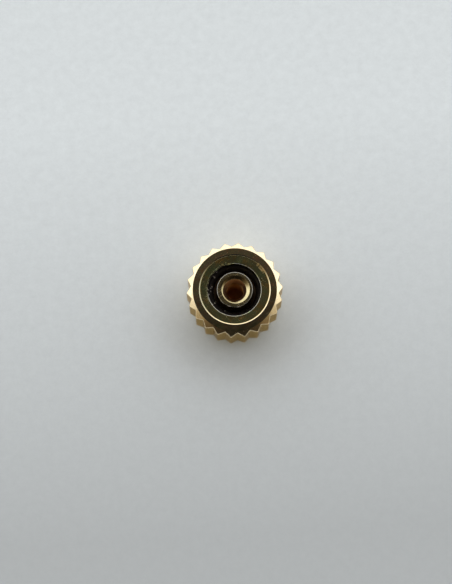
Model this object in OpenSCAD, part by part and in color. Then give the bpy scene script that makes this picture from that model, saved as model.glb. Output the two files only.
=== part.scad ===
// Fluted watch crown with a rubber gasket, for a watch case that has a crown tube.
// It stands on its outer end, as it lies on a bench. Its back, which meets the case, faces up.
// The origin is the middle of the outer end, and +X runs through the tip of a tooth.

/* [Head] */
// Diameter over the tips of the teeth
head_d = 4.0; // [3.9:0.1:5.0]
// Height from the outer end to the back face
head_h = 2.1; // [2.0:0.1:3.0]
// Radial width of the bevel round the back face
back_bevel_w = 0.25; // [0.23:0.005:0.32]
// Height of that bevel
back_bevel_h = 0.15; // [0.1:0.01:0.26]
// Radial width of the bevel between the grip and the outer end
end_bevel_w = 0.26; // [0.23:0.005:0.32]
// Height of that bevel
end_bevel_h = 0.23; // [0.14:0.01:0.26]
// Diameter of the flat of the outer end, which the crown stands on
land_d = 2.2; // [1.8:0.1:2.6]
// Rise of the arc that rounds the outer end, from that flat up to the bevel
end_arc_rise = 0.2; // [0.12:0.01:0.24]

/* [Teeth] */
// Number of teeth round the grip
tooth_count = 22; // [16:1:28]
// Depth of the grooves between the teeth
tooth_depth = 0.165; // [0.12:0.005:0.22]
// Width of the narrow flat that is left on each tooth's tip
tip_land = 0.04; // [0.02:0.01:0.08]

/* [Case tube that the crown fits] */
// Outside diameter of the case tube
tube_d = 2.0; // [1.9:0.05:2.1]
// Radial clearance between the tube and the metal round it
tube_clearance = 0.1; // [0.04:0.01:0.12]
// Depth of the tube's annular recess, from the back face to its floor
recess_depth = 1.3; // [1.2:0.05:1.4]

/* [Gasket] */
// Thickness of the rubber ring's cord
cord_d = 0.56; // [0.45:0.01:0.6]
// How far the ring's inside stands in past the outside of the tube
tube_grip = 0.12; // [0.05:0.01:0.14]
// How far the washer squeezes the cord against its shelf
cord_squeeze = 0.05; // [0.02:0.01:0.08]

/* [Retaining washer] */
// Thickness of the washer
washer_t = 0.25; // [0.2:0.01:0.3]
// How far the washer lies below the back face
washer_drop = 0.06; // [0.05:0.01:0.1]
// Chamfer on the edges of the washer
washer_chamfer = 0.02; // [0.01:0.005:0.05]
// Radial width of the chamfer round the mouth of the seat that the washer is pressed into
mouth_chamfer_w = 0.04; // [0.02:0.005:0.06]
// Height of that chamfer
mouth_chamfer_h = 0.025; // [0.01:0.005:0.05]

/* [Threaded post] */
// Outside diameter of the post
post_d = 1.48; // [1.4:0.02:1.6]
// How far the post's end lies below the back face
post_drop = 0.05; // [0.02:0.01:0.1]
// Radial width of the chamfer round the outside of the post's end
post_chamfer_w = 0.015; // [0.01:0.005:0.05]
// Height of that chamfer
post_chamfer_h = 0.01; // [0.01:0.005:0.05]
// Diameter of the foot that is pressed into the head
foot_d = 1.1; // [1.0:0.02:1.2]
// Length of that foot
foot_h = 0.4; // [0.3:0.05:0.5]
// Chamfer round the end of the foot
foot_chamfer = 0.05; // [0.03:0.005:0.08]
// Diameter of the hole that the stem's 0.9 mm thread is cut in
tap_drill_d = 0.72; // [0.64:0.02:0.8]
// Diameter of the wide countersink at the mouth
countersink_d = 1.17; // [1.06:0.01:1.22]
// Angle of that countersink
countersink_angle = 120; // [90:5:130]
// Diameter where it meets the steeper cone that leads the stem into the thread
lead_d = 0.96; // [0.86:0.01:1.0]
// Angle of that cone
lead_angle = 60; // [50:5:90]

/* [Hidden] */
$fn = 96;
cut = 0.5;                                  // how far a cutting shape runs past the face it cuts

head_r = head_d / 2;
back_z = head_h;
tooth_root_r = head_r - tooth_depth;
tooth_pitch = 360 / tooth_count;
tip_half_angle = tip_land / 2 / head_r * 180 / PI;

recess_r = tube_d / 2 + tube_clearance;
recess_floor_z = back_z - recess_depth;
cord_r = cord_d / 2;
gasket_mid_r = tube_d / 2 - tube_grip + cord_r;
seat_r = gasket_mid_r + cord_r;             // one bore holds the gasket and the washer above it
washer_top_z = back_z - washer_drop;
washer_z = washer_top_z - washer_t;
shelf_z = washer_z - (cord_d - cord_squeeze);

post_r = post_d / 2;
post_top_z = back_z - post_drop;
foot_r = foot_d / 2;
foot_z = recess_floor_z - foot_h;
tap_drill_r = tap_drill_d / 2;
lead_r = lead_d / 2;
countersink_r = countersink_d / 2;
lead_z = post_top_z - (countersink_r - lead_r) / tan(countersink_angle / 2);
thread_top_z = lead_z - (lead_r - tap_drill_r) / tan(lead_angle / 2);

// The turned outside of the head: flat end, arc, bevel, grip, bevel and back face.
module head_blank() {
    land_r = land_d / 2;
    arc_edge_r = head_r - end_bevel_w;
    arc_run = arc_edge_r - land_r;
    arc_r = (pow(arc_run, 2) + pow(end_arc_rise, 2)) / (2 * end_arc_rise);
    rotate_extrude()
        difference() {
            polygon([
                [0, 0],
                [arc_edge_r, 0],
                [arc_edge_r, end_arc_rise],
                [head_r, end_arc_rise + end_bevel_h],
                [head_r, back_z - back_bevel_h],
                [head_r - back_bevel_w, back_z],
                [0, back_z]
            ]);
            difference() {
                translate([land_r, -cut])
                    square([arc_run + cut, cut + end_arc_rise]);
                translate([land_r, arc_r])
                    circle(r = arc_r);
            }
        }
}

// One V groove. Its sides run from the root to the two neighbouring tips, and past them.
module tooth_groove() {
    half_angle = tooth_pitch / 2 - tip_half_angle;
    side_x = head_r * cos(half_angle) - tooth_root_r;
    side_y = head_r * sin(half_angle);
    reach = 1 + cut / side_x;
    translate([0, 0, -cut])
        linear_extrude(height = head_h + 2 * cut)
            polygon([
                [tooth_root_r, 0],
                [tooth_root_r + side_x * reach, -side_y * reach],
                [tooth_root_r + side_x * reach, side_y * reach]
            ]);
}

// Everything that is bored into the back: washer and gasket seat, tube recess and post socket.
module head_bores() {
    rotate_extrude()
        polygon([
            [0, foot_z],
            [foot_r, foot_z],
            [foot_r, recess_floor_z],
            [recess_r, recess_floor_z],
            [recess_r, shelf_z],
            [seat_r, shelf_z],
            [seat_r, back_z - mouth_chamfer_h],
            [seat_r + mouth_chamfer_w, back_z],
            [seat_r + mouth_chamfer_w, back_z + cut],
            [0, back_z + cut]
        ]);
}

// Fluted head, turned from brass bar, milled, bored and plated.
module crown_head() {
    color("gold")
        difference() {
            head_blank();
            for (i = [0 : tooth_count - 1])
                rotate([0, 0, (i + 0.5) * tooth_pitch])
                    tooth_groove();
            head_bores();
        }
}

// Tapped post, pressed into the head by its foot, with its shoulder on the floor of the recess.
module threaded_post() {
    color("goldenrod")
        rotate_extrude()
            polygon([
                [tap_drill_r, foot_z],
                [foot_r - foot_chamfer, foot_z],
                [foot_r, foot_z + foot_chamfer],
                [foot_r, recess_floor_z],
                [post_r, recess_floor_z],
                [post_r, post_top_z - post_chamfer_h],
                [post_r - post_chamfer_w, post_top_z],
                [countersink_r, post_top_z],
                [lead_r, lead_z],
                [tap_drill_r, thread_top_z]
            ]);
}

// Rubber ring, squeezed flat where the shelf and the washer bear on it.
module gasket() {
    color("dimgray")
        rotate_extrude()
            intersection() {
                translate([gasket_mid_r, (shelf_z + washer_z) / 2])
                    circle(r = cord_r);
                translate([gasket_mid_r - cord_d, shelf_z])
                    square([2 * cord_d, washer_z - shelf_z]);
            }
}

// Washer that is pressed into the mouth of the seat and keeps the gasket in.
module retaining_washer() {
    color("khaki")
        rotate_extrude()
            polygon([
                [recess_r + washer_chamfer, washer_z],
                [seat_r - washer_chamfer, washer_z],
                [seat_r, washer_z + washer_chamfer],
                [seat_r, washer_top_z],
                [recess_r + washer_chamfer, washer_top_z],
                [recess_r, washer_top_z - washer_chamfer],
                [recess_r, washer_z + washer_chamfer]
            ]);
}

crown_head();
threaded_post();
gasket();
retaining_washer();
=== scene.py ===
import math
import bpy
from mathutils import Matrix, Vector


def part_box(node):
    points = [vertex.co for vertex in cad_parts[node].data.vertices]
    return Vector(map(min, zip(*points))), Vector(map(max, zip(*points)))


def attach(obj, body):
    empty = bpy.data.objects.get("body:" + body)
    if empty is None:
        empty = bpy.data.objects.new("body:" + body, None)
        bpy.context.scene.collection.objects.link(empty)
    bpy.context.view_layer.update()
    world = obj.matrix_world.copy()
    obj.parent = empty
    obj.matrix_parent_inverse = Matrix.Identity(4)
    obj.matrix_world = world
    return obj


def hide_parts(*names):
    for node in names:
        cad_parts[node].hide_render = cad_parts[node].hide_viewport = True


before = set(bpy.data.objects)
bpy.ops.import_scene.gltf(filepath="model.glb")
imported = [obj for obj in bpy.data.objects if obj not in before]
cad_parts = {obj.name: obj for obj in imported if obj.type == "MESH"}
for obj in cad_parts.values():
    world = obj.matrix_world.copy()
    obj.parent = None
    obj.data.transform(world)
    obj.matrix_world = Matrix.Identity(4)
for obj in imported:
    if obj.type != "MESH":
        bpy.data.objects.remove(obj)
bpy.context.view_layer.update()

from types import SimpleNamespace

import bmesh
import bpy

# Crown head. It is turned from brass bar, its grip teeth are milled in and its back is bored,
# and then it is polished and plated with pale gold. It carries every other piece: the post is
# pressed into its blind socket, and the gasket and the washer into the seat in its back.

MM = 0.001
head_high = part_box("crown_head")[1]
head_r = head_high.x
head_h = head_high.z

tooth_count = 22
tooth_pitch = math.tau / tooth_count
tooth_depth = 0.165 * MM
tooth_root_r = head_r - tooth_depth
tip_half_width = 0.02 * MM
tip_half_angle = tip_half_width / head_r
flank_steps = 5

back_bevel_w = 0.25 * MM
back_bevel_h = 0.15 * MM
back_edge_r = head_r - back_bevel_w
end_bevel_w = 0.26 * MM
end_bevel_h = 0.23 * MM
end_edge_r = head_r - end_bevel_w
end_arc_rise = 0.2 * MM
end_arc_steps = 8
land_r = 1.1 * MM

gasket_low, gasket_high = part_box("gasket")
seat_r = gasket_high.x
shelf_z = gasket_low.z
mouth_chamfer_w = 0.04 * MM
mouth_chamfer_h = 0.025 * MM
recess_r = 1.1 * MM
recess_depth = 1.3 * MM
recess_floor_z = head_h - recess_depth
foot_r = 0.55 * MM
foot_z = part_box("threaded_post")[0].z

buffed_fall = 0.009 * MM          # how far buffing lowers the outer edge of the flat back
rim_round_w = 0.015 * MM          # buffing rounds the bevel's outer edge over this width
rim_round_h = 0.017 * MM
edge_round = 0.009 * MM           # radius that buffing and plating leave on every corner
sharp_corner = math.radians(24)   # corners sharper than this are rounded
smooth_corner = math.radians(40)  # and those blunter than this are then shaded smooth
inset = 0.02 * MM                 # how far from its corners a flat face has its extra points
axis_reach = 1e-6 * MM            # points nearer to the axis than this lie on it


def star_radius(angle):
    """Radius of the toothed outline at an angle from the middle of a tooth."""
    if abs(angle) <= tip_half_angle:
        return head_r
    tip = (head_r * math.cos(tip_half_angle), head_r * math.sin(tip_half_angle))
    root = (tooth_root_r * math.cos(tooth_pitch / 2), tooth_root_r * math.sin(tooth_pitch / 2))
    along = (root[0] - tip[0], root[1] - tip[1])
    ray = (math.cos(angle), math.sin(abs(angle)))
    return (tip[0] * along[1] - tip[1] * along[0]) / (ray[0] * along[1] - ray[1] * along[0])


def end_bevel_z(radius):
    """Height of the outer end's bevel at a radius."""
    return end_arc_rise + (radius - end_edge_r) / (head_r - end_edge_r) * end_bevel_h


def back_bevel_z(radius):
    """Height of the back's bevel at a radius."""
    return head_h - (radius - back_edge_r) / (head_r - back_edge_r) * back_bevel_h


def flat_face(start, end):
    """The two corners of a flat face, and a point just inside each, which keeps its shading flat."""
    share = min(0.25, inset / math.dist(start, end))
    inside = [tuple(a + (b - a) * t for a, b in zip(start, end)) for t in (share, 1 - share)]
    return [start, *inside, end]


def head_profile(star):
    """Radius and height of each row of points, from the outer end round to the socket's floor."""
    run = end_edge_r - land_r
    arc_r = (run ** 2 + end_arc_rise ** 2) / (2 * end_arc_rise)
    arc_angle = math.asin(run / arc_r)
    rows = [(0, 0), (land_r, 0)]
    for step in range(1, end_arc_steps + 1):
        turn = arc_angle * step / end_arc_steps
        rows.append((land_r + arc_r * math.sin(turn), arc_r * (1 - math.cos(turn))))
    rim_inner_r = star - rim_round_w
    bevel_top = (back_edge_r, head_h - buffed_fall)
    rows += flat_face((star, end_bevel_z(star)), (star, back_bevel_z(star) - rim_round_h))
    rows += flat_face((rim_inner_r, back_bevel_z(rim_inner_r)), bevel_top)
    rows += flat_face(bevel_top, (seat_r + mouth_chamfer_w, head_h))[1:]
    rows += [
        (seat_r, head_h - mouth_chamfer_h),
        (seat_r, shelf_z),
        (recess_r, shelf_z),
        (recess_r, recess_floor_z),
        (foot_r, recess_floor_z),
        (foot_r, foot_z),
        (0, foot_z),
    ]
    return rows


def skinned(name, rows, closed_rows=True, looped=False):
    """Object whose mesh joins each row of points to the next. A row on the axis is one point."""
    shape = bmesh.new()
    rings = []
    for row in rows:
        on_axis = all(math.hypot(point[0], point[1]) < axis_reach for point in row)
        rings.append([shape.verts.new(point) for point in (row[:1] if on_axis else row)])
    pairs = list(zip(rings, rings[1:]))
    if looped:
        pairs.append((rings[-1], rings[0]))
    for lower, upper in pairs:
        count = max(len(lower), len(upper))
        for i in range(count if closed_rows else count - 1):
            j = (i + 1) % count
            corners = [lower[i % len(lower)], upper[i % len(upper)]]
            corners += [upper[j % len(upper)], lower[j % len(lower)]]
            shape.faces.new(list(dict.fromkeys(corners)))
    mesh = bpy.data.meshes.new(name)
    shape.to_mesh(mesh)
    shape.free()
    piece = bpy.data.objects.new(name, mesh)
    bpy.context.scene.collection.objects.link(piece)
    return piece


def tooth_sector():
    """One tooth's share of the head, from the middle of one groove to the middle of the next."""
    half = tooth_pitch / 2
    flank = [tip_half_angle + (half - tip_half_angle) * i / flank_steps for i in range(flank_steps + 1)]
    angles = [-a for a in reversed(flank)] + flank
    columns = [head_profile(star_radius(angle)) for angle in angles]
    rows = []
    for row in zip(*columns):
        rows.append([
            (radius * math.cos(angle), radius * math.sin(angle), height)
            for angle, (radius, height) in zip(angles, row)
        ])
    return skinned("fluted_head", rows, closed_rows=False)


def result(node):
    """The first output that a node has with its present settings."""
    return next(output for output in node.outputs if output.enabled)


def add_node(tree, kind, inputs=None, **settings):
    """Adds a node, sets its properties, and sets or links its inputs by name or number."""
    new = tree.nodes.new(kind)
    for name, value in settings.items():
        setattr(new, name, value)
    for key, value in (inputs or {}).items():
        if isinstance(value, bpy.types.Node):
            value = result(value)
        if isinstance(value, bpy.types.NodeSocket):
            tree.links.new(value, new.inputs[key])
        else:
            new.inputs[key].default_value = value
    return new


def geometry_tree(name, inputs):
    """Empty geometry tree with a geometry input and output and the named inputs, and its group input."""
    tree = bpy.data.node_groups.new(name, "GeometryNodeTree")
    tree.interface.new_socket("Geometry", in_out="OUTPUT", socket_type="NodeSocketGeometry")
    tree.interface.new_socket("Geometry", in_out="INPUT", socket_type="NodeSocketGeometry")
    for label, kind in inputs.items():
        tree.interface.new_socket(label, in_out="INPUT", socket_type=kind)
    return tree, tree.nodes.new("NodeGroupInput").outputs


def repeat_round_axis():
    """Tree that copies a sector round the Z axis and joins the copies into one skin."""
    tree, given = geometry_tree("repeat_round_axis", {
        "Count": "NodeSocketInt",
        "Join distance": "NodeSocketFloat",
        "Material": "NodeSocketMaterial",
    })
    points = add_node(tree, "GeometryNodeMeshLine", {"Count": given["Count"], "Offset": (0, 0, 0)})
    share = add_node(tree, "ShaderNodeMath", {0: math.tau, 1: given["Count"]}, operation="DIVIDE")
    index = add_node(tree, "GeometryNodeInputIndex")
    turn = add_node(tree, "ShaderNodeMath", {0: index, 1: share}, operation="MULTIPLY")
    turn_vector = add_node(tree, "ShaderNodeCombineXYZ", {"Z": turn})
    copies = add_node(tree, "GeometryNodeInstanceOnPoints", {
        "Points": points, "Instance": given["Geometry"], "Rotation": turn_vector})
    real = add_node(tree, "GeometryNodeRealizeInstances", {"Geometry": copies})
    joined = add_node(tree, "GeometryNodeMergeByDistance", {
        "Geometry": real, "Distance": given["Join distance"]})
    coated = add_node(tree, "GeometryNodeSetMaterial", {"Geometry": joined, "Material": given["Material"]})
    add_node(tree, "NodeGroupOutput", {"Geometry": coated})
    return tree


def add_tree(piece, tree, values):
    """Puts a geometry tree on a piece, with its inputs set by the sockets' identifiers."""
    modifier = piece.modifiers.new(tree.name, "NODES")
    modifier.node_group = tree
    for socket in tree.interface.items_tree:
        if socket.in_out == "INPUT" and socket.name in values:
            modifier[socket.identifier] = values[socket.name]


def add_edge_rounding(piece, width=edge_round, segments=3):
    """Rounds the sharp corners of a piece a little, as buffing and plating do."""
    modifier = piece.modifiers.new("edge_rounding", "BEVEL")
    modifier.limit_method = "ANGLE"
    modifier.angle_limit = sharp_corner
    modifier.width = width
    modifier.segments = segments
    modifier.use_clamp_overlap = True
    modifier.miter_outer = "MITER_ARC"


def bake_modifiers(piece):
    """Turns the piece's modifiers into a plain mesh with faces that point outwards."""
    evaluated = piece.evaluated_get(bpy.context.evaluated_depsgraph_get())
    mesh = bpy.data.meshes.new_from_object(evaluated)
    piece.modifiers.clear()
    blank = piece.data
    piece.data = mesh
    bpy.data.meshes.remove(blank)
    mesh.name = piece.name
    shape = bmesh.new()
    shape.from_mesh(mesh)
    bmesh.ops.recalc_face_normals(shape, faces=shape.faces)
    shape.to_mesh(mesh)
    shape.free()
    mesh.shade_smooth()
    mesh.set_sharp_from_angle(angle=smooth_corner)


def linear(hex_colour):
    """Linear RGBA of an sRGB hex colour."""
    parts = [int(hex_colour[i:i + 2], 16) / 255 for i in (1, 3, 5)]
    return (*[c / 12.92 if c <= 0.04045 else ((c + 0.055) / 1.055) ** 2.4 for c in parts], 1)


def new_surface(name):
    """Material with an empty Principled shader, and the place of the shaded point on the piece."""
    material = bpy.data.materials.new(name)
    material.use_nodes = True
    tree = material.node_tree
    tree.nodes.clear()
    shader = add_node(tree, "ShaderNodeBsdfPrincipled")
    add_node(tree, "ShaderNodeOutputMaterial", {"Surface": shader})
    place = add_node(tree, "ShaderNodeTexCoord").outputs["Object"]
    return SimpleNamespace(material=material, tree=tree, shader=shader, place=place, **polar(tree, place))


def polar(tree, place):
    """X and Y of a place, its radius from the axis, its angle round it and its height."""
    split = add_node(tree, "ShaderNodeSeparateXYZ", {"Vector": place})
    level = add_node(tree, "ShaderNodeCombineXYZ", {"X": split.outputs["X"], "Y": split.outputs["Y"]})
    return {
        "x": split.outputs["X"],
        "y": split.outputs["Y"],
        "radius": result(add_node(tree, "ShaderNodeVectorMath", {0: level}, operation="LENGTH")),
        "angle": result(add_node(tree, "ShaderNodeMath", {
            0: split.outputs["Y"], 1: split.outputs["X"]}, operation="ARCTAN2")),
        "height": split.outputs["Z"],
        "outward": result(add_node(tree, "ShaderNodeVectorMath", {0: level}, operation="NORMALIZE")),
    }


# a limit for masks that lies past every point of the crown
beyond = 10 * MM


def within(surface, value, low, high, edge):
    """Mask that is 1 where a value lies between two limits, with soft edges of the given width."""
    rise = add_node(surface.tree, "ShaderNodeMapRange", {
        "Value": value, "From Min": low - edge / 2, "From Max": low + edge / 2})
    fall = add_node(surface.tree, "ShaderNodeMapRange", {
        "Value": value, "From Min": high - edge / 2, "From Max": high + edge / 2,
        "To Min": 1.0, "To Max": 0.0})
    return add_node(surface.tree, "ShaderNodeMath", {0: rise, 1: fall}, operation="MULTIPLY")


# numbers of a Mix node's two colour sockets, which share their names with its other sockets
MIX_A, MIX_B = 6, 7


def cover(surface, masks, values):
    """Lays other values over the shader's inputs, by name, where all of the masks are 1."""
    tree = surface.tree
    mask = masks[0]
    for other in masks[1:]:
        mask = add_node(tree, "ShaderNodeMath", {0: mask, 1: other}, operation="MULTIPLY")
    for name, value in values.items():
        socket = surface.shader.inputs[name]
        under = socket.links[0].from_socket if socket.links else socket.default_value
        if name == "Base Color":
            mixed = add_node(tree, "ShaderNodeMix", {
                0: mask, MIX_A: under, MIX_B: linear(value)}, data_type="RGBA")
        else:
            mixed = add_node(tree, "ShaderNodeMix", {0: mask, "A": under, "B": value})
        tree.links.new(result(mixed), socket)


def plated_metal(name, thick_tone, thin_tone, roughness, ring_pitch, ring_depth):
    """Plated brass: its tone and gloss wander in soft patches, and turned faces keep fine lathe rings."""
    surface = new_surface(name)
    tree, shader, place = surface.tree, surface.shader, surface.place
    shader.inputs["Metallic"].default_value = 1
    # gold stays warm where it is seen edge-on
    shader.inputs["Specular Tint"].default_value = linear("#D2BC92")

    # soft patches of thinner plate, about 0.35 mm across, over a speckle of about 0.05 mm
    patches = add_node(tree, "ShaderNodeTexNoise", {
        "Vector": place, "Scale": 1 / (0.35 * MM), "Detail": 3.0, "Roughness": 0.55})
    speckle = add_node(tree, "ShaderNodeTexNoise", {
        "Vector": place, "Scale": 1 / (0.05 * MM), "Detail": 2.0, "Roughness": 0.6})
    surface.thickness = add_node(tree, "ShaderNodeMath", {0: patches, 1: speckle}, operation="MULTIPLY")
    thick = add_node(tree, "ShaderNodeMapRange", {
        "Value": surface.thickness, "From Min": 0.14, "From Max": 0.34})
    tone = add_node(tree, "ShaderNodeMix", {
        0: thick, MIX_A: linear(thin_tone), MIX_B: linear(thick_tone)}, data_type="RGBA")
    tree.links.new(result(tone), shader.inputs["Base Color"])

    # hairlines from handling: the crests of two noises, each drawn out along its own way
    gloss = add_node(tree, "ShaderNodeMapRange", {
        "Value": surface.thickness, "From Min": 0.12, "From Max": 0.4,
        "To Min": roughness * 1.5, "To Max": roughness * 0.75})
    for turn in (0.6, 2.3):
        drawn_out = add_node(tree, "ShaderNodeMapping", {
            "Vector": place, "Rotation": (0, 0, turn), "Scale": (1, 1 / 40, 1 / 40)},
            vector_type="TEXTURE")
        streaks = add_node(tree, "ShaderNodeTexNoise", {
            "Vector": drawn_out, "Scale": 1 / (1.2 * MM), "Detail": 0.0})
        hairlines = add_node(tree, "ShaderNodeMapRange", {
            "Value": streaks, "From Min": 0.7, "From Max": 0.78, "To Min": 0.0, "To Max": 0.08})
        gloss = add_node(tree, "ShaderNodeMath", {0: gloss, 1: hairlines}, operation="ADD")
    tree.links.new(result(gloss), shader.inputs["Roughness"])

    # lathe rings on the faces and bevels, but not on the milled teeth
    wander = add_node(tree, "ShaderNodeTexNoise", {
        "W": surface.radius, "Scale": 1 / ring_pitch, "Detail": 2.0, "Roughness": 0.7},
        noise_dimensions="1D")
    facing = add_node(tree, "ShaderNodeSeparateXYZ", {
        "Vector": add_node(tree, "ShaderNodeNewGeometry").outputs["Normal"]})
    squareness = add_node(tree, "ShaderNodeMath", {0: facing.outputs["Z"]}, operation="ABSOLUTE")
    on_turned = add_node(tree, "ShaderNodeMapRange", {
        "Value": squareness, "From Min": 0.7, "From Max": 0.8})
    rings = add_node(tree, "ShaderNodeBump", {
        "Height": wander, "Strength": on_turned, "Distance": ring_depth})

    # on the upright faces, lines along Z that the milling cutter left, about 0.03 mm apart
    drawn_up = add_node(tree, "ShaderNodeMapping", {"Vector": place, "Scale": (1, 1, 1 / 30)})
    lines = add_node(tree, "ShaderNodeTexNoise", {
        "Vector": drawn_up, "Scale": 1 / (0.03 * MM), "Detail": 2.0, "Roughness": 0.6})
    on_upright = add_node(tree, "ShaderNodeMath", {0: 1.0, 1: on_turned}, operation="SUBTRACT")
    milled = add_node(tree, "ShaderNodeBump", {
        "Height": lines, "Strength": on_upright, "Distance": 0.0008 * MM, "Normal": rings})

    # the faint waviness that buffing leaves everywhere
    wave = add_node(tree, "ShaderNodeTexNoise", {
        "Vector": place, "Scale": 1 / (0.12 * MM), "Detail": 2.0, "Roughness": 0.5})
    relief = add_node(tree, "ShaderNodeBump", {
        "Height": wave, "Strength": 1.0, "Distance": 0.0008 * MM, "Normal": milled})
    tree.links.new(result(relief), shader.inputs["Normal"])
    return surface


def add_tarnish(surface, masks, green, brown):
    """Thin tarnish in ragged patches about 0.3 mm across, greenish in some and brown in others."""
    for seed, tone in ((1.0, brown), (2.0, green)):
        patches = add_node(surface.tree, "ShaderNodeTexNoise", {
            "Vector": surface.place, "W": seed, "Scale": 1 / (0.3 * MM), "Detail": 4.0,
            "Roughness": 0.7}, noise_dimensions="4D")
        tarnished = add_node(surface.tree, "ShaderNodeMapRange", {
            "Value": patches, "From Min": 0.48, "From Max": 0.62})
        cover(surface, [tarnished, *masks], {"Base Color": tone})


def add_dust(surface, cell, share):
    """Pale, ragged flecks of dust, about half a cell across, on a share of the surface's cells."""
    tree = surface.tree
    ragged = add_node(tree, "ShaderNodeTexNoise", {
        "Vector": surface.place, "Scale": 3 / cell, "Detail": 2.0}).outputs["Color"]
    moved = add_node(tree, "ShaderNodeVectorMath", {
        0: ragged, 1: (0.5 * cell, 0.5 * cell, 0.5 * cell), 2: surface.place}, operation="MULTIPLY_ADD")
    flecks = add_node(tree, "ShaderNodeTexVoronoi", {"Vector": moved, "Scale": 1 / cell})
    small = add_node(tree, "ShaderNodeMapRange", {
        "Value": flecks.outputs["Distance"], "From Min": 0.2, "From Max": 0.3,
        "To Min": 1.0, "To Max": 0.0})
    choice = add_node(tree, "ShaderNodeSeparateColor", {"Color": flecks.outputs["Color"]})
    chosen = add_node(tree, "ShaderNodeMath", {0: choice.outputs["Red"], 1: share}, operation="LESS_THAN")
    cover(surface, [small, chosen], {"Base Color": "#8C8680", "Roughness": 0.8, "Metallic": 0.0})


def add_scuff(surface):
    """A yellow, matt scuff along the edge of the washer, left when it was pressed in."""
    ragged = add_node(surface.tree, "ShaderNodeMapRange", {
        "Value": surface.thickness, "From Min": 0.23, "From Max": 0.26})
    along = within(surface, surface.angle, math.radians(26), math.radians(46), math.radians(6))
    across = within(surface, surface.radius, seat_r - 0.09 * MM, seat_r + 0.05 * MM, 0.04 * MM)
    cover(surface, [ragged, along, across], {"Base Color": "#D0B278", "Roughness": 0.4})


# Pale gold plate over polished brass: a bright cream mirror on the bevels, and dark with a little
# tarnish on the flat back. The chamfer round the seat is painted greyer and darker towards +Y and -X,
# as painted shade. The plate is thin inside the bores, where oil dulls the brass, and the recess's
# darker tone there is partly painted shade; the blind socket is clean.
head_gold = plated_metal("gold_plate_polished_over_brass", "#F3E0B9", "#E6D1A8", roughness=0.12,
                         ring_pitch=0.02 * MM, ring_depth=0.0003 * MM)
flat_back = [
    within(head_gold, head_gold.radius, seat_r + mouth_chamfer_w, back_edge_r, 0.01 * MM),
    within(head_gold, head_gold.height, head_h - 2 * buffed_fall, beyond, 0.002 * MM),
]
add_tarnish(head_gold, flat_back, green="#E0E0A6", brown="#FBCF9C")
# painted shade: the chamfer round the seat is painted a darker grey towards +Y and -X
shade_side_on_chamfer = add_node(head_gold.tree, "ShaderNodeMath", {
    0: head_gold.x, 1: -0.6, 2: head_gold.y}, operation="MULTIPLY_ADD")
painted_shade_on_chamfer = [
    within(head_gold, shade_side_on_chamfer, -0.35 * MM, beyond, 1.1 * MM),
    within(head_gold, head_gold.radius, seat_r, seat_r + mouth_chamfer_w, 0.01 * MM),
]
cover(head_gold, painted_shade_on_chamfer, {"Base Color": "#ABA68C"})
add_scuff(head_gold)
add_dust(head_gold, cell=0.09 * MM, share=0.012)
# oil dulls the brass in the recess, and its darker tone there is also painted shade
oily_recess_and_painted_shade = [
    within(head_gold, head_gold.radius, -beyond, recess_r + 0.01 * MM, 0.02 * MM),
    within(head_gold, head_gold.height, 0.9 * foot_z, beyond, 0.01 * MM),
]
cover(head_gold, oily_recess_and_painted_shade, {"Base Color": "#766656", "Roughness": 0.4})
clean_socket = [*oily_recess_and_painted_shade, within(head_gold, head_gold.radius, -beyond, foot_r, 0.01 * MM)]
cover(head_gold, clean_socket, {"Base Color": "#DDB184", "Roughness": 0.5, "Metallic": 0.2})

head = tooth_sector()
add_tree(head, repeat_round_axis(), {
    "Count": tooth_count, "Join distance": 0.0002 * MM, "Material": head_gold.material})
add_edge_rounding(head)
bake_modifiers(head)
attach(head, "root")
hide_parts("crown_head")


# Threaded post. It is a brass pipe turned on a lathe, with a foot that is pressed into the head.
# Its mouth is countersunk, and the bore is tapped for the end of the winding stem. The thin
# plate doesn't reach far inside, so the thread stays a redder brass, which painted shade darkens.

post_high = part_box("threaded_post")[1]
post_r = post_high.x
post_top_z = post_high.z
post_chamfer_w = 0.015 * MM
post_chamfer_h = 0.01 * MM
foot_chamfer = 0.05 * MM
countersink_r = 0.585 * MM
countersink_angle = math.radians(120)
lead_r = 0.48 * MM  # where a steeper cone begins, which leads the stem into the thread
lead_z = post_top_z - (countersink_r - lead_r) / math.tan(countersink_angle / 2)
lead_angle = math.radians(60)
tap_drill_r = 0.36 * MM
thread_top_z = lead_z - (lead_r - tap_drill_r) / math.tan(lead_angle / 2)
countersink_off = (0.038 * MM, 0)
bore_off = (0.003 * MM, -0.022 * MM)  # both tools ran a little off the axis
thread_pitch = 0.225 * MM
thread_r = 0.455 * MM
round_steps = 176
bore_steps_per_turn = 16


def ring(radius, height, off=(0, 0)):
    """Points of a circle round the axis, or round a point a little off it."""
    turns = [math.tau * i / round_steps for i in range(round_steps)]
    return [(off[0] + radius * math.cos(a), off[1] + radius * math.sin(a), height) for a in turns]


def post_rings():
    """Rings of points round the post's section: up its outside and down its bore."""
    outside = [
        (foot_r - foot_chamfer, foot_z),
        (foot_r, foot_z + foot_chamfer),
        (foot_r, recess_floor_z),
        (post_r, recess_floor_z),
        (post_r, post_top_z - post_chamfer_h),
        (post_r - post_chamfer_w, post_top_z),
    ]
    rows = [ring(r, z) for r, z in outside]
    # the flat rim, between a chamfer on the axis and a countersink that is off it
    rows.append(ring(post_r - post_chamfer_w - inset, post_top_z))
    rows.append(ring(countersink_r + inset, post_top_z, countersink_off))
    cone = flat_face((countersink_r, post_top_z), (lead_r, lead_z))
    rows += [ring(r, z, countersink_off) for r, z in cone[:2]]
    bore = []
    row_height = thread_pitch / bore_steps_per_turn
    lead_rows = math.ceil((lead_z - thread_top_z) / row_height)
    for i in range(lead_rows):
        share = i / lead_rows
        bore.append((lead_r + (tap_drill_r - lead_r) * share, lead_z + (thread_top_z - lead_z) * share))
    bore_rows = math.ceil((thread_top_z - foot_z) / row_height)
    for i in range(bore_rows + 1):
        bore.append((tap_drill_r, thread_top_z + (foot_z - thread_top_z) * i / bore_rows))
    return rows + [ring(r, z, bore_off) for r, z in bore]


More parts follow.
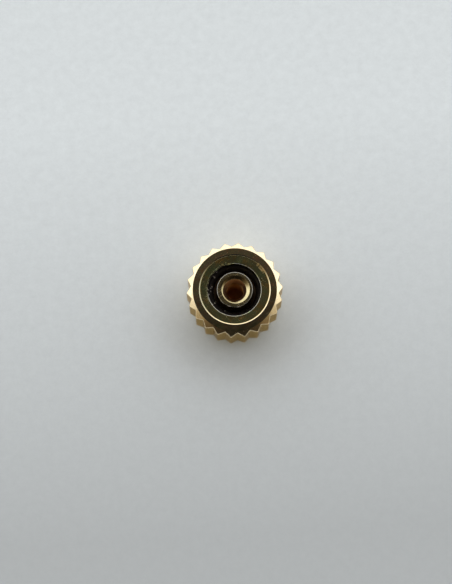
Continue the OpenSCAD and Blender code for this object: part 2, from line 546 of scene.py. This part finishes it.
def cut_thread():
    """Tree that cuts a right-hand V thread in a bore, as a tap does."""
    tree, given = geometry_tree("cut_thread", {
        "Pitch": "NodeSocketFloat",
        "Crest radius": "NodeSocketFloat",
        "Root radius": "NodeSocketFloat",
        "Axis": "NodeSocketVector",
        "Material": "NodeSocketMaterial",
    })

    # phase of the thread at a point: the turns that its height makes, less those of its angle
    position = add_node(tree, "GeometryNodeInputPosition")
    from_axis = add_node(tree, "ShaderNodeVectorMath", {
        0: position, 1: given["Axis"]}, operation="SUBTRACT")
    point = polar(tree, from_axis)
    climb = add_node(tree, "ShaderNodeMath", {0: point["height"], 1: given["Pitch"]}, operation="DIVIDE")
    phase = add_node(tree, "ShaderNodeMath", {
        0: point["angle"], 1: -1 / math.tau, 2: climb}, operation="MULTIPLY_ADD")
    from_root = add_node(tree, "ShaderNodeMath", {0: phase, 1: 0.5}, operation="PINGPONG")
    # flat at the root over an eighth of the pitch, and at the crest over a quarter
    cut_radius = add_node(tree, "ShaderNodeMapRange", {
        "Value": from_root, "From Min": 1 / 16, "From Max": 3 / 8,
        "To Min": given["Root radius"], "To Max": given["Crest radius"]})
    to_go = add_node(tree, "ShaderNodeMath", {0: cut_radius, 1: point["radius"]}, operation="SUBTRACT")
    depth = add_node(tree, "ShaderNodeMath", {0: to_go, 1: 0.0}, operation="MAXIMUM")
    shift = add_node(tree, "ShaderNodeVectorMath", {
        0: point["outward"], "Scale": depth}, operation="SCALE")
    threaded = add_node(tree, "GeometryNodeSetPosition", {"Geometry": given["Geometry"], "Offset": shift})
    real = add_node(tree, "GeometryNodeRealizeInstances", {"Geometry": threaded})
    coated = add_node(tree, "GeometryNodeSetMaterial", {"Geometry": real, "Material": given["Material"]})
    add_node(tree, "NodeGroupOutput", {"Geometry": coated})
    return tree


def add_wear(surface, radius, low_r, high_r, above):
    """Rubs the gold through to grey nickel between two radii, where the plate is thin."""
    thin = add_node(surface.tree, "ShaderNodeMapRange", {
        "Value": surface.thickness, "From Min": 0.26, "From Max": 0.36, "To Min": 1.0, "To Max": 0.0})
    rubbed = [
        thin,
        within(surface, radius, low_r, high_r, 0.01 * MM),
        within(surface, surface.height, above, beyond, 0.01 * MM),
    ]
    cover(surface, rubbed, {"Base Color": "#A9A79E"})


# Turned brass with a thin flash of gold: duller than the head, with coarser tool rings, and with a
# rim that is rubbed to nickel. Inside the bore the brass is bare, red and half matt. Painted shade
# browns it at the mouth and blackens it towards -Y, and darkens the countersink above towards +Y.
# Pale patches on the near side of the rim are painted glints.
post_brass = plated_metal("gold_flash_over_turned_brass", "#C7B98F", "#B3A376", roughness=0.18,
                          ring_pitch=0.03 * MM, ring_depth=0.0006 * MM)
add_wear(post_brass, post_brass.radius, post_r - 2 * post_chamfer_w, beyond,
         above=post_top_z - 2 * post_chamfer_h)
bare_bore = [
    within(post_brass, post_brass.radius, -beyond, lead_r + 0.04 * MM, 0.01 * MM),
    within(post_brass, post_brass.height, -beyond, lead_z - 0.003 * MM, 0.004 * MM),
]
cover(post_brass, bare_bore, {"Base Color": "#E8BE84", "Roughness": 0.4, "Metallic": 0.25})
# painted shade: the bore is painted a darker brown near its mouth
painted_shade_at_mouth = [
    *bare_bore,
    within(post_brass, post_brass.height, post_top_z - 0.45 * MM, beyond, 0.3 * MM),
]
cover(post_brass, painted_shade_at_mouth, {"Base Color": "#9A683C"})
# painted shade: the bore is painted nearly black everywhere but its far wall towards +Y
painted_shade_off_far_wall = [*painted_shade_at_mouth, within(post_brass, post_brass.y, -beyond, 0.25 * MM, 0.3 * MM)]
cover(post_brass, painted_shade_off_far_wall, {"Base Color": "#3A2010"})
# painted shade: the countersink is painted darker towards +Y
painted_shade_countersink = [
    within(post_brass, post_brass.radius, lead_r - 0.06 * MM, countersink_r + 0.02 * MM, 0.01 * MM),
    within(post_brass, post_brass.height, lead_z, beyond, 0.01 * MM),
    within(post_brass, post_brass.y, 0.14 * MM, beyond, 0.2 * MM),
]
cover(post_brass, painted_shade_countersink, {"Base Color": "#7C6C4A"})

# painted glints: pale matt patches on the near side of the rim, in broken dashes
rim_glint_noise = add_node(post_brass.tree, "ShaderNodeTexNoise", {
    "Vector": post_brass.place, "Scale": 1 / (0.16 * MM), "Detail": 1.0})
glint_dashes = add_node(post_brass.tree, "ShaderNodeMapRange", {
    "Value": rim_glint_noise, "From Min": 0.48, "From Max": 0.54})
painted_rim_glints = [
    glint_dashes,
    within(post_brass, post_brass.angle, math.radians(-145), math.radians(-72), math.radians(10)),
    within(post_brass, post_brass.height, post_top_z - 0.1 * MM, beyond, 0.02 * MM),
    within(post_brass, post_brass.radius, post_r - post_chamfer_w, beyond, 0.004 * MM),
]
cover(post_brass, painted_rim_glints, {"Base Color": "#B0A49C", "Roughness": 0.5, "Metallic": 0.0})

post = skinned("tapped_post", post_rings(), looped=True)
add_edge_rounding(post, width=0.005 * MM, segments=2)
add_tree(post, cut_thread(), {
    "Pitch": thread_pitch, "Crest radius": tap_drill_r, "Root radius": thread_r,
    "Axis": (*bore_off, 0), "Material": post_brass.material})
bake_modifiers(post)
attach(post, "root")
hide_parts("threaded_post")


# Gasket. It is a ring moulded in black nitrile rubber, greased and pushed into the head, where
# the shelf and the washer squeeze it flat. Its inner side grips the watch case's tube.

cord_r = 0.28 * MM
section_steps = 56
flash_height = 0.006 * MM
flash_half_angle = math.radians(5)


def gasket_section():
    """Radius and height round the squeezed cord, with the mould's thin flash line inside."""
    middle_r = seat_r - cord_r
    middle_z = (gasket_low.z + gasket_high.z) / 2
    half_height = (gasket_high.z - gasket_low.z) / 2
    points = []
    for i in range(section_steps):
        turn = -math.tau * i / section_steps
        from_inside = abs(abs(turn) - math.pi)
        bulge = flash_height * max(0.0, 1 - from_inside / flash_half_angle)
        radius = cord_r + bulge
        height = max(-half_height, min(half_height, radius * math.sin(turn)))
        points.append((middle_r + radius * math.cos(turn), middle_z + height))
    return points


def moulded_rubber():
    """Black rubber: matt and faintly grained, with smears of grease."""
    surface = new_surface("black_nitrile_rubber_moulded")
    tree, shader, place = surface.tree, surface.shader, surface.place
    shader.inputs["Base Color"].default_value = linear("#120D0C")
    # its fine pores swallow most of the sheen
    shader.inputs["Specular IOR Level"].default_value = 0.15
    grain = add_node(tree, "ShaderNodeTexNoise", {
        "Vector": place, "Scale": 1 / (0.03 * MM), "Detail": 3.0, "Roughness": 0.6})
    gloss = add_node(tree, "ShaderNodeMapRange", {
        "Value": grain, "From Min": 0.3, "From Max": 0.7, "To Min": 0.55, "To Max": 0.8})
    tree.links.new(result(gloss), shader.inputs["Roughness"])
    relief = add_node(tree, "ShaderNodeBump", {"Height": grain, "Strength": 1.0, "Distance": 0.001 * MM})
    tree.links.new(result(relief), shader.inputs["Normal"])

    # grease: glossy smears about 0.2 mm long
    smears = add_node(tree, "ShaderNodeTexNoise", {
        "Vector": place, "Scale": 1 / (0.2 * MM), "Detail": 1.0})
    greasy = add_node(tree, "ShaderNodeMapRange", {"Value": smears, "From Min": 0.55, "From Max": 0.62})
    cover(surface, [greasy], {"Roughness": 0.22})
    return surface


# The dust is thickest on the side towards -X, which lay open longest.
rubber = moulded_rubber()
dust_share = add_node(rubber.tree, "ShaderNodeMapRange", {
    "Value": rubber.x, "From Min": -0.3 * MM, "From Max": -0.9 * MM, "To Min": 0.03, "To Max": 0.75})
add_dust(rubber, cell=0.14 * MM, share=dust_share)

gasket = skinned("rubber_gasket", [ring(r, z) for r, z in gasket_section()], looped=True)
gasket.data.materials.append(rubber.material)
bake_modifiers(gasket)
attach(gasket, "root")
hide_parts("gasket")


# Retaining washer. It is stamped from brass sheet, tumbled and plated with the head, and pressed
# into the mouth of the gasket's seat, a little below the back face.

washer_low, washer_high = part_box("retaining_washer")
washer_chamfer = 0.02 * MM
washer_dish = 0.006 * MM              # pressing it in left its face a little hollow
hole_off = (-0.019 * MM, 0.004 * MM)  # and its hole was stamped a little off the middle


def washer_rings():
    """Rings of points round the washer's section, from its underside up and in to its hole."""
    face = flat_face((seat_r, washer_high.z), (recess_r + washer_chamfer, washer_high.z - washer_dish))
    rim = [
        (seat_r - washer_chamfer, washer_low.z),
        (seat_r, washer_low.z + washer_chamfer),
        *face[:2],
    ]
    hole = [
        *face[2:],
        (recess_r, washer_high.z - washer_dish - washer_chamfer),
        (recess_r, washer_low.z + washer_chamfer),
        (recess_r + washer_chamfer, washer_low.z),
    ]
    return [ring(r, z) for r, z in rim] + [ring(r, z, hole_off) for r, z in hole]


# Stamped and tumbled brass under a greenish, slightly dull gold plate: olive, with brown and green
# patches of tarnish, and rubbed to nickel at the edge of its hole.
washer_brass = plated_metal("gold_plate_over_stamped_brass", "#E0DCA6", "#CEC88E", roughness=0.14,
                            ring_pitch=0.05 * MM, ring_depth=0.0003 * MM)
add_tarnish(washer_brass, [], green="#CEDDA2", brown="#F2CE7C")
from_hole = add_node(washer_brass.tree, "ShaderNodeVectorMath", {
    0: washer_brass.place, 1: (1, 1, 0), 2: (-hole_off[0], -hole_off[1], 0)}, operation="MULTIPLY_ADD")
hole_radius = add_node(washer_brass.tree, "ShaderNodeVectorMath", {
    0: from_hole}, operation="LENGTH").outputs["Value"]
add_wear(washer_brass, hole_radius, 0, recess_r + 1.5 * washer_chamfer,
         above=washer_high.z - 2 * washer_chamfer)
add_scuff(washer_brass)
add_dust(washer_brass, cell=0.09 * MM, share=0.015)

# black grease from the gasket, wiped over the edge of the hole on the side between -X and +Y
wiped = add_node(washer_brass.tree, "ShaderNodeMath", {
    0: washer_brass.thickness, 1: 0.5 * MM, 2: hole_radius}, operation="MULTIPLY_ADD")
grease_side = add_node(washer_brass.tree, "ShaderNodeVectorMath", {
    0: washer_brass.place, 1: (-0.8, 0.6, 0)}, operation="DOT_PRODUCT").outputs["Value"]
greasy_edge = [
    within(washer_brass, wiped, 0, recess_r + 0.18 * MM, 0.05 * MM),
    within(washer_brass, grease_side, 0.75 * MM, beyond, 0.3 * MM),
]
cover(washer_brass, greasy_edge, {"Base Color": "#1C1912", "Roughness": 0.35, "Metallic": 0.3})

washer = skinned("pressed_washer", washer_rings(), looped=True)
washer.data.materials.append(washer_brass.material)
add_edge_rounding(washer)
bake_modifiers(washer)
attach(washer, "root")
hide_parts("retaining_washer")


# Floor. It is a flat sheet of pale, matt plastic that the crown lies on, larger than the views
# need. It isn't part of the crown.

floor_half = 120 * MM

floor = skinned("floor", [
    [(-floor_half, -floor_half, 0), (floor_half, -floor_half, 0)],
    [(-floor_half, floor_half, 0), (floor_half, floor_half, 0)],
], closed_rows=False)

# Pale, faintly mottled plastic, with painted shade that makes it a little darker towards the near side.
sheet = new_surface("pale_plastic_sheet_moulded")
far_lit_share = add_node(sheet.tree, "ShaderNodeMapRange", {
    "Value": sheet.y, "From Min": -10 * MM, "From Max": 8 * MM})
sheet_tone_with_painted_shade = add_node(sheet.tree, "ShaderNodeMix", {
    0: far_lit_share, MIX_A: linear("#C6CACB"), MIX_B: linear("#F5FBFD")}, data_type="RGBA")
sheet.tree.links.new(result(sheet_tone_with_painted_shade), sheet.shader.inputs["Base Color"])
sheet.shader.inputs["Roughness"].default_value = 0.7
mottle = add_node(sheet.tree, "ShaderNodeTexNoise", {
    "Vector": sheet.place, "Scale": 1 / (0.4 * MM), "Detail": 4.0, "Roughness": 0.85})
mottled = add_node(sheet.tree, "ShaderNodeMapRange", {
    "Value": mottle, "From Min": 0.3, "From Max": 0.7, "To Min": 0.0, "To Max": 0.15})
cover(sheet, [mottled], {"Base Color": "#A4A9AB"})
floor.data.materials.append(sheet.material)


# Light. It comes from a pale room, brightest towards +Y where its window is, and dark above. Its
# walls darken from the sides round to -Y, above a low pale band. The polished flats of the
# crown's back face the dark part, and its bevels the walls.

pale_wall = "#F9FCFF"
scene = bpy.context.scene
world = bpy.data.worlds.new("studio_surround")
scene.world = world
world.use_nodes = True
world_tree = world.node_tree
world_tree.nodes.clear()
sky = add_node(world_tree, "ShaderNodeTexCoord").outputs["Generated"]
sky_split = add_node(world_tree, "ShaderNodeSeparateXYZ", {"Vector": sky})
overhead = add_node(world_tree, "ShaderNodeMapRange", {
    "Value": sky_split.outputs["Z"], "From Min": 0.8, "From Max": 0.94}, interpolation_type="SMOOTHSTEP")
level = add_node(world_tree, "ShaderNodeCombineXYZ", {
    "X": sky_split.outputs["X"], "Y": sky_split.outputs["Y"]})
level_way = add_node(world_tree, "ShaderNodeVectorMath", {0: level}, operation="NORMALIZE")
near_side = add_node(world_tree, "ShaderNodeVectorMath", {
    0: level_way, 1: (-0.05, -1, 0)}, operation="DOT_PRODUCT").outputs["Value"]
nearness = add_node(world_tree, "ShaderNodeMapRange", {
    "Value": near_side, "From Min": -0.2, "From Max": 1.0})
above_low = add_node(world_tree, "ShaderNodeMapRange", {
    "Value": sky_split.outputs["Z"], "From Min": 0.17, "From Max": 0.4}, interpolation_type="SMOOTHSTEP")

# the walls' tones from the sides (0) round to -Y (1), and those from the walls (0) to overhead (1)
near_tone = add_node(world_tree, "ShaderNodeValToRGB", {"Fac": nearness})
overhead_tone = add_node(world_tree, "ShaderNodeValToRGB", {"Fac": overhead})
for ramp, tones in (
    (near_tone.color_ramp, {
        0: pale_wall, 0.25: "#C8C6C0", 0.42: "#9C9586", 0.54: "#7C725D", 0.68: "#5B4F3D",
        0.83: "#31291E", 1: "#1D1B17"}),
    (overhead_tone.color_ramp, {0: pale_wall, 0.55: "#8E6E4C", 1: "#272521"}),
):
    ramp.elements[0].color = linear(tones[0])
    ramp.elements[1].color = linear(tones[1])
    for place, tone in tones.items():
        if 0 < place < 1:
            ramp.elements.new(place).color = linear(tone)
side_tone = add_node(world_tree, "ShaderNodeMix", {
    0: above_low, MIX_A: linear(pale_wall), MIX_B: near_tone}, data_type="RGBA")
wall_tone = add_node(world_tree, "ShaderNodeMix", {
    0: 1.0, MIX_A: side_tone, MIX_B: overhead_tone}, data_type="RGBA", blend_type="DARKEN")
bright = add_node(world_tree, "ShaderNodeMapRange", {
    "Value": near_side, "From Min": 0.5, "From Max": -1.0, "To Min": 1.53, "To Max": 1.75})
# the dark overhead is darkest where the camera's own front hangs
lens_front = add_node(world_tree, "ShaderNodeMapRange", {
    "Value": sky_split.outputs["Y"], "From Min": 0.06, "From Max": 0.22,
    "To Min": 0.27, "To Max": 1.16}, interpolation_type="SMOOTHSTEP")
rising = add_node(world_tree, "ShaderNodeMapRange", {
    "Value": sky_split.outputs["Z"], "From Min": 0.15, "From Max": 0.6, "To Min": 0.84, "To Max": 1.1})
dimmed = add_node(world_tree, "ShaderNodeMix", {0: overhead, "A": rising, "B": lens_front})
strength = add_node(world_tree, "ShaderNodeMath", {0: bright, 1: dimmed}, operation="MULTIPLY")
room = add_node(world_tree, "ShaderNodeBackground", {"Color": wall_tone, "Strength": strength})
backdrop = add_node(world_tree, "ShaderNodeBackground", {"Color": linear("#D3D6D8"), "Strength": 1.0})
seen = add_node(world_tree, "ShaderNodeLightPath")
world_mix = add_node(world_tree, "ShaderNodeMixShader", {
    0: seen.outputs["Is Camera Ray"], 1: room, 2: backdrop})
add_node(world_tree, "ShaderNodeOutputWorld", {"Surface": world_mix})


# Camera. It looks down on the crown's back, tilted a little towards the near side, and its frame
# is 452 by 584 pixels, with 24.15 pixels to a millimetre at the crown.

frame_w_px, frame_h_px = 452, 584
px_per_mm = 24.15
crown_px = (234.8, 289.3)         # where the middle of the back face lies in the frame
camera_tilt = math.radians(11)
camera_turn = math.radians(3.75)  # turns the teeth to where they lie in the frame
camera_distance = 80 * MM
sensor_width = 36                 # in millimetres, as Blender counts it, along the frame's longer side

camera_data = bpy.data.cameras.new("camera")
camera = bpy.data.objects.new("camera", camera_data)
scene.collection.objects.link(camera)
scene.camera = camera
frame_height = frame_h_px / px_per_mm * MM
camera_data.sensor_fit = "AUTO"
camera_data.sensor_width = sensor_width
camera_data.lens = sensor_width * camera_distance / frame_height
camera_data.clip_start = 1 * MM
camera_data.clip_end = 1000 * MM

back = (
    -math.sin(camera_turn) * math.sin(camera_tilt),
    -math.cos(camera_turn) * math.sin(camera_tilt),
    math.cos(camera_tilt),
)
right = (math.cos(camera_turn), -math.sin(camera_turn), 0)
up = (
    math.sin(camera_turn) * math.cos(camera_tilt),
    math.cos(camera_turn) * math.cos(camera_tilt),
    math.sin(camera_tilt),
)
off_right = (crown_px[0] - frame_w_px / 2) / px_per_mm * MM
off_down = (crown_px[1] - frame_h_px / 2) / px_per_mm * MM
aim = [0, 0, head_h]
for axis in range(3):
    aim[axis] += -right[axis] * off_right + up[axis] * off_down
camera.location = [aim[axis] + back[axis] * camera_distance for axis in range(3)]
camera.rotation_euler = (camera_tilt, 0, -camera_turn)

scene.view_settings.view_transform = "Standard"
